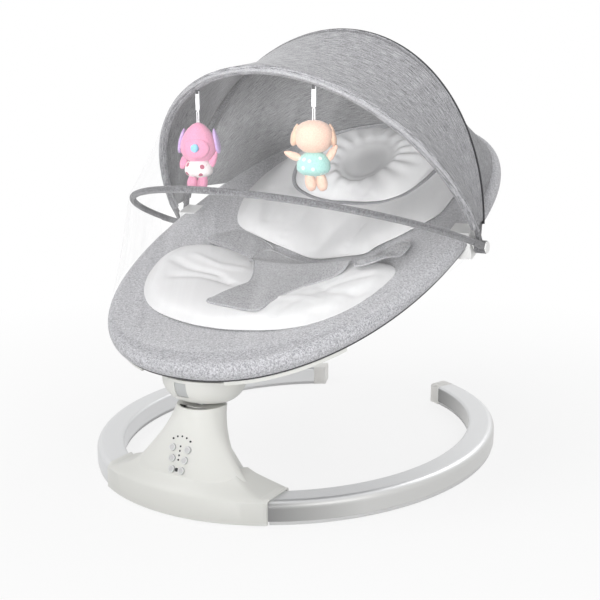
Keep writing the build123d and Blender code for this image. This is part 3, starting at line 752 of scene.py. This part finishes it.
def lift_points(piece, lift):
    up = seat_point(0, 0, 1) - seat_point(0, 0, 0)
    for point in piece.data.vertices:
        point.co += up * lift(*seat_place(point.co))
    piece.data.update()


fold_floor = 0.004


def press_lines(piece, lines):
    def lift(x, v, w):
        if w < bowl(x, v) + fold_floor:
            return 0.0
        return -sum(
            depth * math.exp(-((line_distance(x, v, line) / width) ** 2)) for line, width, depth in lines
        )

    lift_points(piece, lift)


def pad_top(crown, power):
    return lambda x, v, reach: bowl(x, v) + 0.0022 + crown * (1 - reach**power)


def above_bowl(gap):
    return lambda x, v: bowl(x, v) + gap


# %% [markdown]
# The lower cushion fills the foot of the seat. Outlines are in millimetres on the seat, and each fold is
# a line with its width and depth. A negative depth is a raised fold.

# %% Lower cushion
lower_outline = [
    (-150, -190), (-112, -224), (-60, -241), (0, -248), (60, -241), (112, -226), (152, -194), (176, -150),
    (186, -104), (184, -66), (160, -44), (100, -34), (30, -30), (-40, -28), (-110, -26), (-158, -36),
    (-182, -62), (-184, -104), (-172, -150),
]
lower_cushion = cushion("lower_cushion", lower_outline, (0, -130), pad_top(0.013, 5), above_bowl(0.0012))
blow_up(lower_cushion)
lower_folds = [
    ([(-0.150, -0.108), (-0.110, -0.122), (-0.070, -0.118), (-0.030, -0.142)], 0.006, 0.0035),
    ([(-0.120, -0.150), (-0.085, -0.134), (-0.045, -0.136)], 0.007, 0.003),
    ([(-0.125, -0.085), (-0.080, -0.096), (-0.045, -0.088)], 0.006, -0.0024),
    ([(0.075, -0.225), (0.092, -0.170), (0.128, -0.120), (0.160, -0.095)], 0.0035, 0.0024),
    ([(0.100, -0.130), (0.126, -0.150), (0.165, -0.140)], 0.005, 0.002),
    ([(0.062, -0.170), (0.094, -0.164), (0.120, -0.172)], 0.005, -0.002),
]
press_lines(lower_cushion, lower_folds)
settle(lower_cushion, "seat", "white_cotton", pad_white, "lower_pad")

# %% [markdown]
# The body cushion goes from the hips to the head end. Two sewn channels run up its middle.

# %% Body cushion
body_outline = [
    (0, 22), (52, 14), (96, 4), (112, 26), (134, 46), (158, 74), (177, 104), (180, 150), (178, 210),
    (164, 278), (126, 332), (66, 357), (0, 364), (-66, 357), (-126, 332), (-164, 278), (-178, 210),
    (-178, 150), (-170, 108), (-152, 60), (-130, 36), (-92, 28), (-48, 26),
]
body_cushion = cushion(
    "body_cushion", body_outline, (0, 190), pad_top(0.014, 6), above_bowl(0.0012), 140, 72
)
blow_up(body_cushion)
body_folds = [
    ([(-0.062, 0.128), (-0.058, 0.080), (-0.060, 0.026)], 0.003, 0.003),
    ([(0.062, 0.128), (0.060, 0.080), (0.058, 0.012)], 0.003, 0.003),
    ([(-0.130, 0.140), (-0.108, 0.098), (-0.098, 0.066)], 0.007, 0.003),
    ([(-0.100, 0.150), (-0.086, 0.110), (-0.080, 0.082)], 0.006, -0.0022),
]
press_lines(body_cushion, body_folds)
settle(body_cushion, "seat", "white_cotton", pad_white, "body_pad")

# %% [markdown]
# ## Head pillow
# The pillow lies on the body cushion. Its middle is a shallow oval dish that keeps the head still, and
# gathers run out from the dish to the edge. A dark piped trim is sewn along its edge.

# %% Head pillow
pillow_outline = [
    (0, 152), (38, 150), (70, 148), (98, 160), (114, 192), (122, 236), (118, 290), (92, 332), (48, 350),
    (0, 354), (-48, 350), (-92, 332), (-118, 290), (-122, 236), (-112, 192), (-94, 164), (-66, 152),
    (-34, 150),
]
dish_middle, dish_half = (0.0, 0.236), (0.046, 0.052)
pillow_crown, dish_depth = 0.026, 0.013
gather_count, gather_height, seam_depth = 17, 0.0016, 0.0022


def dish_reach(x, v):
    return math.hypot((x - dish_middle[0]) / dish_half[0], (v - dish_middle[1]) / dish_half[1])


def pillow_top(x, v, reach):
    crown = pillow_crown * (1 - reach**4) ** 0.8
    dish = dish_depth * (1 - smooth_step(dish_reach(x, v), 0.55, 1.25))
    return bowl(x, v) + 0.017 + crown - dish


def gather(x, v, w):
    if w < bowl(x, v) + 0.02:
        return 0.0
    reach = dish_reach(x, v)
    angle = math.atan2(v - dish_middle[1], x - dish_middle[0])
    share = smooth_step(reach, 0.95, 1.25) * (1 - smooth_step(reach, 1.7, 2.4))
    wave = math.cos(angle * gather_count + 0.7 * math.sin(angle * 3))
    seam = math.exp(-(((reach - 1.0) / 0.07) ** 2))
    return gather_height * share * wave - seam_depth * seam


head_cushion = cushion(
    "head_cushion", pillow_outline, (0, 244), pillow_top, above_bowl(0.015), 140, 72
)
blow_up(head_cushion)
lift_points(head_cushion, gather)
settle(head_cushion, "seat", "white_cotton", pillow_white, "head_pillow")

trim_grow, trim_middle, trim_height = 1.012, 0.244, 0.0195
trim_line = []
for x, v in closed_line(pillow_outline, 160) / 1000:
    along = trim_middle + (v - trim_middle) * trim_grow
    trim_line.append(seat_point(x * trim_grow, along, bowl(x, v) + trim_height))
trim_line.append(trim_line[0])
pillow_trim = tube_along("pillow_trim", trim_line, 0.0034, 10)
settle(pillow_trim, "seat", "grey_melange", trim_grey)

# %% [markdown]
# ## Harness
# A padded crotch piece stands up from the seat and widens into a bar. Two short straps come from the sides
# and close on the bar with touch fastener, so there is no buckle. All of them are flat quilted pieces, and
# a folded tape binds their edges. The right strap is puckered where its quilting pulls.

# %% Harness
quilt_crown, binding_lift = 0.0045, 0.001
crotch_outline = [
    (-28, -202), (14, -209), (54, -212), (58, -180), (74, -140), (104, -112), (116, -92), (112, -62),
    (92, -44),
    (46, -28), (-14, -8), (-54, 0), (-66, -22), (-60, -46), (-42, -66), (-22, -98), (-10, -132), (-12, -160),
    (-20, -180),
]


def quilt_top(base, edge):
    return lambda x, v, reach: base(x, v) + edge + quilt_crown * (1 - reach**6)


def crotch_base(x, v):
    pad = 0.0152 * smooth_step(v, -0.262, -0.215) * (1 - smooth_step(v, -0.075, -0.035))
    return bowl(x, v) + 0.003 + pad + 0.006 * smooth_step(v, -0.12, -0.06)


def bind_edge(name, outline, base, radius):
    line = [seat_point(x, v, base(x, v) + binding_lift) for x, v in closed_line(outline, 120) / 1000]
    line.append(line[0])
    settle(tube_along(name, line, radius), "seat", "grey_melange", binding_grey)


crotch_piece = cushion(
    "crotch_piece", crotch_outline, (14, -90), quilt_top(crotch_base, 0.0015), crotch_base, 120, 30
)
settle(crotch_piece, "seat", "grey_melange", harness_melange, "crotch_pad")
bind_edge("crotch_binding", crotch_outline, crotch_base, 0.0019)

strap_outline = {
    "left": [(-150, -20), (-138, 10), (-122, 28), (-92, 26), (-60, 14), (-62, -10), (-76, -32), (-110, -30)],
    "right": [(132, -84), (126, -52), (132, -22), (152, 8), (172, 2), (176, -34), (168, -66), (150, -84)],
}


def strap_base(x, v):
    pad = 0.0155 * (1 - smooth_step(v, -0.075, -0.03)) if x > 0 else 0.0
    return bowl(x, v) + 0.004 + pad + (0.003 if x > 0 else 0.0)


def pucker(x, v, w):
    if w <= strap_base(x, v) + 0.0008:
        return 0.0
    along = x * 0.45 + v * 0.9
    return 0.0013 * math.sin(along * 760 + 9 * x) - 0.0004


for side, outline in strap_outline.items():
    middle = tuple(np.mean(np.array(outline, float), axis=0))
    strap = cushion("strap_" + side, outline, middle, quilt_top(strap_base, 0.001), strap_base, 72, 20)
    settle(strap, "seat", "grey_melange", harness_melange, "harness_strap_" + side)
    if side == "right":
        lift_points(strap, pucker)
    bind_edge("strap_binding_" + side, outline, strap_base, 0.0016)

# %% [markdown]
# ## Canopy
# Three half-oval bows fan out from one cross axis. The cloth is stretched between the rear and the front
# bow: every thread runs straight from one to the other and sags a little between them, which gives the
# saddle line of the top. A strip is turned round the front bow as a hem. The sheet is drawn by the angle
# of the bow and the place along it. Inside it has a paler lining.

# %% Bows and fans
hinge_y, hinge_z = 0.055 + shift_y, 0.302
bow_shape = {
    "rear": (math.radians(81.1), 0.248, 0.296),
    "front": (math.radians(126.9), 0.253, 0.296),
    "net": (math.radians(163.0), 0.258, 0.308),
    "rim": (math.radians(194.0), 0.251, 0.386),
}
hinge = Vector((0, hinge_y, hinge_z))
cloth_skin, cloth_thick = 0.0060, 0.0011


def fan_point(angle, half, rise, turn, out=0.0):
    c, s = math.cos(turn), math.sin(turn)
    normal = Vector((c / half, s / rise)).normalized()
    x = half * c + normal.x * out
    reach = rise * s + normal.y * out
    return Vector((x, hinge_y + reach * math.cos(angle), hinge_z + reach * math.sin(angle)))


def fan_weights(piece):
    for point in piece.data.vertices:
        angle = math.atan2(point.co.z - hinge_z, point.co.y - hinge_y)
        angle = angle if angle > -math.pi / 2 else angle + math.tau


def row_weights(piece):
    values = np.zeros(len(piece.data.vertices), np.float32)
    piece.data.attributes["row_share"].data.foreach_get("value", values)


def line_inside(piece, node):
    turned = sum(face.area * face.normal.dot(face.center - hinge) for face in piece.data.polygons)
    only(piece)
    if turned < 0:
        edit_all()
        bpy.ops.mesh.flip_normals()
        bpy.ops.object.mode_set(mode="OBJECT")
    piece.data.materials.append(canopy_melange)
    piece.data.materials.append(lining_grey)
    apply_modifier(
        piece, "SOLIDIFY", thickness=cloth_thick, offset=0, material_offset=1, material_offset_rim=0
    )
    indices = [face.material_index for face in piece.data.polygons]
    settle(piece, None, "grey_melange", canopy_melange, node)
    piece.data.materials.append(lining_grey)
    piece.data.polygons.foreach_set("material_index", indices)


for name in ("rear_bow", "front_bow", "net_bow"):
    dress(nodes[name], sleeve_melange)

# %% Canopy cloth
canopy_turns = (math.radians(7), math.radians(173))
canopy_sag = 0.010
hem_share, hem_roll = 0.9, math.radians(200)


def canopy_place(u, v):
    turn = canopy_turns[0] + (canopy_turns[1] - canopy_turns[0]) * u
    rear_angle, rear_half, rear_rise = bow_shape["rear"]
    front_angle, front_half, front_rise = bow_shape["front"]
    if v < hem_share:
        share = v / hem_share
        start = fan_point(rear_angle - 0.02, rear_half, rear_rise, turn, cloth_skin)
        end = fan_point(front_angle, front_half, front_rise, turn, cloth_skin)
        spot = start + (end - start) * share
        sag = canopy_sag * math.sin(math.pi * share) * math.sin(turn) ** 0.7
        return spot + (hinge - spot).normalized() * sag
    roll = (v - hem_share) / (1 - hem_share) * hem_roll
    axis_spot = fan_point(front_angle, front_half, front_rise, turn)
    up = (fan_point(front_angle, front_half, front_rise, turn, 0.01) - axis_spot).normalized()
    ahead = Vector((0, -math.sin(front_angle), math.cos(front_angle)))
    return axis_spot + cloth_skin * (up * math.cos(roll) + ahead * math.sin(roll))


canopy_cloth = grid_piece("canopy_cloth", 200, 60, canopy_place)
line_inside(canopy_cloth, "canopy_fabric")
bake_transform(canopy_cloth)
fan_weights(canopy_cloth)

# %% [markdown]
# Behind the rear bow the cloth goes on as a back panel. It falls from the bow to the head end of the rim
# and closes the hood, so the inside looks grey all round.

# %% Canopy back
panel_middle = hinge + Vector((0, 0.05, 0.06))
panel_foot, panel_sag, panel_fold = 0.0135, 0.006, 0.0012


def back_place(u, v):
    turn = math.radians(12 + 156 * u)
    spot = rim_place(turn)
    rim_spot = seat_point(spot.x, spot.y, panel_foot)
    angle, half, rise = bow_shape["rear"]
    bow_spot = fan_point(angle - 0.012, half, rise, math.radians(11 + 158 * u), cloth_skin)
    where = rim_spot + (bow_spot - rim_spot) * v
    fold = panel_fold * math.sin(math.pi * v) * math.sin(turn * 23)
    return where + (panel_middle - where).normalized() * (panel_sag * math.sin(math.pi * v) + fold)


canopy_rear = grid_piece("canopy_rear", 140, 40, back_place)
line_inside(canopy_rear, "canopy_back")
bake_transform(canopy_rear)
row_weights(canopy_rear)

# %% [markdown]
# A dark piping covers the seam over the rear bow, and a tape binds the front hem. Both are thin tubes
# along their bow.


# %% Canopy edges
def bow_line(key, out, tilt, turns=(6, 174), count=120):
    angle, half, rise = bow_shape[key]
    low, high = (math.radians(t) for t in turns)
    return [
        fan_point(angle + tilt, half, rise, low + (high - low) * k / count, out) for k in range(count + 1)
    ]


rear_piping = tube_along("rear_piping", bow_line("rear", 0.0062, -0.026), 0.0021)
settle(rear_piping, "rear_bow", "grey_tube", piping_dark)
front_binding = tube_along("front_binding", bow_line("front", 0.0035, 0.024), 0.0022)
settle(front_binding, "front_bow", "grey_melange", binding_grey)

# %% [markdown]
# ## Sheer net
# A fine net closes the front. Its upper part hangs between the front bow and the net bow, and its lower part
# falls from the net bow over the foot of the seat and moves with that bow. It is thin enough to see the toys
# through. The shader is mostly clear, and small folds make it whiter where the cloth doubles.


# %% Net
def sheer(name, clear, folded):
    material, tree, shader = principled(name, (0.96, 0.96, 0.975), 0.8, Sheen_Weight=0.2)
    soft = object_noise(tree, 1.0, 2, (34, 0.9, 1), source="UV")
    tree.links.new(rescale(tree, soft, 0.35, 0.72, clear, folded), shader.inputs["Alpha"])
    add_surface(tree, shader, None, object_noise(tree, 1400, 1), 0.2, 0.0002)
    return material


net_sheer = sheer("net_sheer", 0.05, 0.09)
veil_sheer = sheer("veil_sheer", 0.05, 0.13)
net_out, net_tilt = 0.0062, 0.01


def fan_sheet(start_key, end_key, sag, folds):
    a, half_a, rise_a = bow_shape[start_key]
    b, half_b, rise_b = bow_shape[end_key]
    end_tilt, end_out = (0, 0.0) if end_key == "rim" else (net_tilt, net_out)

    def place(u, v):
        turn = math.radians(9) + math.radians(162) * u
        start = fan_point(a + net_tilt, half_a, rise_a, turn, net_out)
        end = fan_point(b - end_tilt, half_b, rise_b, turn, end_out)
        spot = start + (end - start) * v
        dip = sag * math.sin(math.pi * v) * math.sin(turn)
        wave = folds * math.sin(math.pi * min(1.0, v * 1.2)) * math.sin(turn * 31 + 2 * math.sin(turn * 5))
        return spot + (hinge - spot).normalized() * (dip + wave)

    return place


net_top = grid_piece("net_top", 160, 40, fan_sheet("front", "net", 0.004, 0.0006))
settle(net_top, None, "net", net_sheer, "net_upper")
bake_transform(net_top)
fan_weights(net_top)

net_skirt = grid_piece("net_skirt", 200, 40, fan_sheet("net", "rim", 0.003, 0.0008))
settle(net_skirt, "net_bow", "net", veil_sheer, "net_lower")
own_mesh(net_skirt)

# %% [markdown]
# ## Plush toys
# Two small stuffed animals hang from the front bow on white loops. A plush body is a ball that a seam
# pulls in, so each form is a sphere whose points are moved, with a short rough pile. The first one
# faces the camera, with drooping ears and a round nose; the other shows its back. Both are plain kinds of
# animal.


# %% Plush finishes
def plush(name, color, dots=None, dot_size=60, dot_share=0.3):
    material, tree, shader = principled(name, color, 0.95, Sheen_Weight=0.35, Sheen_Roughness=0.4)
    pile = object_noise(tree, 650, 3)
    tone = ramp_color(tree, pile, darker(color, 0.86), color, 0.35, 0.6)
    if dots:
        cells = add_node(tree, "TexVoronoi", Scale=dot_size, Randomness=0.55)
        tree.links.new(coordinate(tree), cells.inputs["Vector"])
        inside = combine(tree, "LESS_THAN", cells.outputs["Distance"], dot_share)
        tone = paint_over(tree, inside, tone, dots)
    add_surface(tree, shader, tone, pile, 0.5, 0.0012)
    return material


pink_plush = plush("pink_plush", (0.80, 0.32, 0.48))
lilac_plush = plush("lilac_plush", (0.58, 0.40, 0.72))
blue_plush = plush("blue_plush", (0.30, 0.62, 0.90))
dotted_white = plush("dotted_white", (0.86, 0.80, 0.80), (0.42, 0.10, 0.16), 98, 0.33)
peach_plush = plush("peach_plush", (0.78, 0.52, 0.41))
tan_plush = plush("tan_plush", (0.76, 0.50, 0.36))
dotted_mint = plush("dotted_mint", (0.36, 0.63, 0.58), (0.66, 0.80, 0.74), 104, 0.27)


# %% [markdown]
# Heads, ears, limbs and suits are all the same ball with another taper: it grows or narrows towards its
# top, and some are blunted at both ends.

# %% Plush forms
pile_height, pile_grain = 0.0006, 300


def plush_ball(name, place, half, shape, lean=0.0, face=0.0):
    ball = begin(name, bpy.ops.mesh.primitive_uv_sphere_add, segments=40, ring_count=24, radius=1)
    turn = Matrix.Rotation(face, 3, "Z") @ Matrix.Rotation(lean, 3, "Y")
    for point in ball.data.vertices:
        spot = shape(point.co)
        spot = Vector((spot.x * half[0], spot.y * half[1], spot.z * half[2]))
        spot += spot.normalized() * (pile_height * noise.noise(spot * pile_grain))
        point.co = turn @ spot + place
    bpy.ops.object.shade_smooth()
    return ball


def tapered(width, slope, blunt=1.0):
    def shape(spot):
        grow = width + slope * spot.z
        return Vector((spot.x * grow, spot.y * grow, math.copysign(abs(spot.z) ** blunt, spot.z)))

    return shape


plain_ball = tapered(1.0, 0.0)
bell = tapered(0.97, -0.25)
round_head = tapered(1.0, 0.06, 0.85)
drop = tapered(1.0, -0.28)
suit_shape = tapered(1.0, -0.2, 0.8)


def join(name, pieces):
    only(pieces[0])
    for piece in pieces:
        piece.select_set(True)
    bpy.ops.object.join()
    pieces[0].name = name
    return pieces[0]


def toy_part(side, part, pieces, material, slot):
    made = join("plush_" + part + "_" + side, pieces)
    settle(made, "toy_" + side, slot, material, "toy_" + side + "_" + part)


def rounded_box(name, size, edge, segments, middle):
    box = begin(name, bpy.ops.mesh.primitive_cube_add, size=1, location=(0, 0, 0))
    edit_all()
    bpy.ops.transform.resize(value=size)
    bpy.ops.mesh.bevel(offset=edge, segments=segments)
    bpy.ops.transform.translate(value=tuple(middle))
    bpy.ops.object.mode_set(mode="OBJECT")
    return box


# %% [markdown]
# Each toy hangs below the front bow: a clip, a strap, one loop of cord, and then the animal. The cord is
# a curve with the loop's own points.


# %% Toys
def below(spot, drop):
    return spot - Vector((0, 0, drop))


def toy_hook(x):
    angle, half, rise = bow_shape["front"]
    reach = rise * math.sqrt(1 - (x / half) ** 2)
    return Vector((x, hinge_y + reach * math.cos(angle), hinge_z + reach * math.sin(angle)))


def toy_loop(side, top):
    half = 0.0015
    points = [
        (-half, -0.0172), (-half, -0.008), (-half, -0.0008), (half, -0.0008), (half, -0.008), (half, -0.0172),
    ]
    data = bpy.data.curves.new("plush_cord_" + side, "CURVE")
    data.dimensions = "3D"
    data.bevel_depth = 0.0008
    data.bevel_resolution = 3
    spline = data.splines.new("NURBS")
    spline.points.add(len(points) - 1)
    for point, (x, z) in zip(spline.points, points):
        point.co = (top.x + x, top.y, top.z + z, 1)
    spline.order_u = 3
    spline.use_endpoint_u = True
    cord = bpy.data.objects.new("plush_cord_" + side, data)
    bpy.context.scene.collection.objects.link(cord)
    data.materials.append(webbing_white)
    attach(cord, "toy_" + side)
    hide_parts("toy_" + side + "_cord")
    first = spline.points[0].co
    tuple(tuple(first)[:3])


toy_look = {
    "left": (-0.101, pink_plush, lilac_plush, dotted_white, "pink_plush", "lilac_plush", "white_plush"),
    "right": (0.0835, peach_plush, tan_plush, dotted_mint, "peach_plush", "tan_plush", "mint_plush"),
}
toy_size = {
    "left": {"head": (0.0250, 0.0225, 0.0275), "suit": (0.0195, 0.0175, 0.0140), "drop": 0.0335},
    "right": {"head": (0.0245, 0.0220, 0.0215), "suit": (0.0215, 0.0185, 0.0165), "drop": 0.0335},
}
ear_size = {"left": (0.0042, 0.0105, 0.0175), "right": (0.0052, 0.0115, 0.0145)}
arm_pose = {
    "left": ((-1, 0.0200, 0.0095, 0.35), (1, 0.0205, 0.0115, 0.35)),
    "right": ((-1, 0.0265, 0.010, -1.2), (1, 0.0235, 0.013, 0.55)),
}
leg_lean = {"left": 0.16, "right": -0.20}
strap_gap, strap_length, cord_drop = 0.0067, 0.0273, 0.0165


def make_toy(side, x, skin, ear, suit, skin_slot, ear_slot, suit_slot):
    size, facing = toy_size[side], side == "left"
    hook = toy_hook(x)
    strap_head = below(hook, strap_gap)
    strap = rounded_box(
        "plush_strap_" + side, (0.0062, 0.0022, 0.026), 0.0007, 2, below(strap_head, 0.0145)
    )
    settle(strap, "toy_" + side, "white_strap", webbing_white, "toy_" + side + "_strap")
    clip = rounded_box("toy_clip_" + side, (0.0052, 0.0034, 0.0060), 0.0009, 3, below(hook, 0.0092))
    settle(clip, "toy_" + side, "dark_plastic", dark_plastic)
    cord_top = below(strap_head, strap_length)
    toy_loop(side, cord_top)
    head = below(cord_top, cord_drop + size["head"][2])
    body = below(head, size["drop"])
    face = math.radians(24 if facing else 30)
    turn = Matrix.Rotation(face, 3, "Z")
    across, ahead = turn @ Vector((1, 0, 0)), turn @ Vector((0, -1, 0))

    parts = [plush_ball("head", head, size["head"], bell if facing else round_head, face=face)]
    if facing:
        muzzle = below(head + ahead * 0.0165, 0.007)
        parts.append(plush_ball("muzzle", muzzle, (0.0185, 0.0075, 0.0150), plain_ball, face=face))
    toy_part(side, "head", parts, skin, skin_slot)
    ears = []
    for way in (-1, 1):
        spot = head + across * (way * size["head"][0] * 0.96) - ahead * 0.005 + Vector((0, 0, 0.0025))
        ears.append(plush_ball("ear", spot, ear_size[side], drop, way * -0.2, face))
    toy_part(side, "ears", ears, ear, ear_slot)
    suit_ball = plush_ball("suit", body, size["suit"], suit_shape, face=face)
    toy_part(side, "body", [suit_ball], suit, suit_slot)
    arms = []
    for way, out_by, up_by, lean in arm_pose[side]:
        spot = body + across * (way * out_by) + Vector((0, 0, up_by))
        arms.append(plush_ball("arm", spot, (0.0052, 0.0052, 0.0125), drop, lean, face))
    toy_part(side, "arms", arms, skin, skin_slot)
    legs = []
    for way in (-1, 1):
        out_by = way * 0.0072 - leg_lean[side] * 0.014
        spot = below(body + across * out_by, size["suit"][2] + 0.005)
        legs.append(plush_ball("leg", spot, (0.0070, 0.0070, 0.0145), drop, leg_lean[side], face))
    toy_part(side, "legs", legs, skin, skin_slot)
    if facing:
        nose_spot = below(head + ahead * 0.0262, 0.006)
        nose = plush_ball("plush_nose", nose_spot, (0.0056, 0.004, 0.0056), plain_ball, face=face)
        settle(nose, "toy_left", "lilac_plush", blue_plush)


for side, look in toy_look.items():
    make_toy(side, *look)
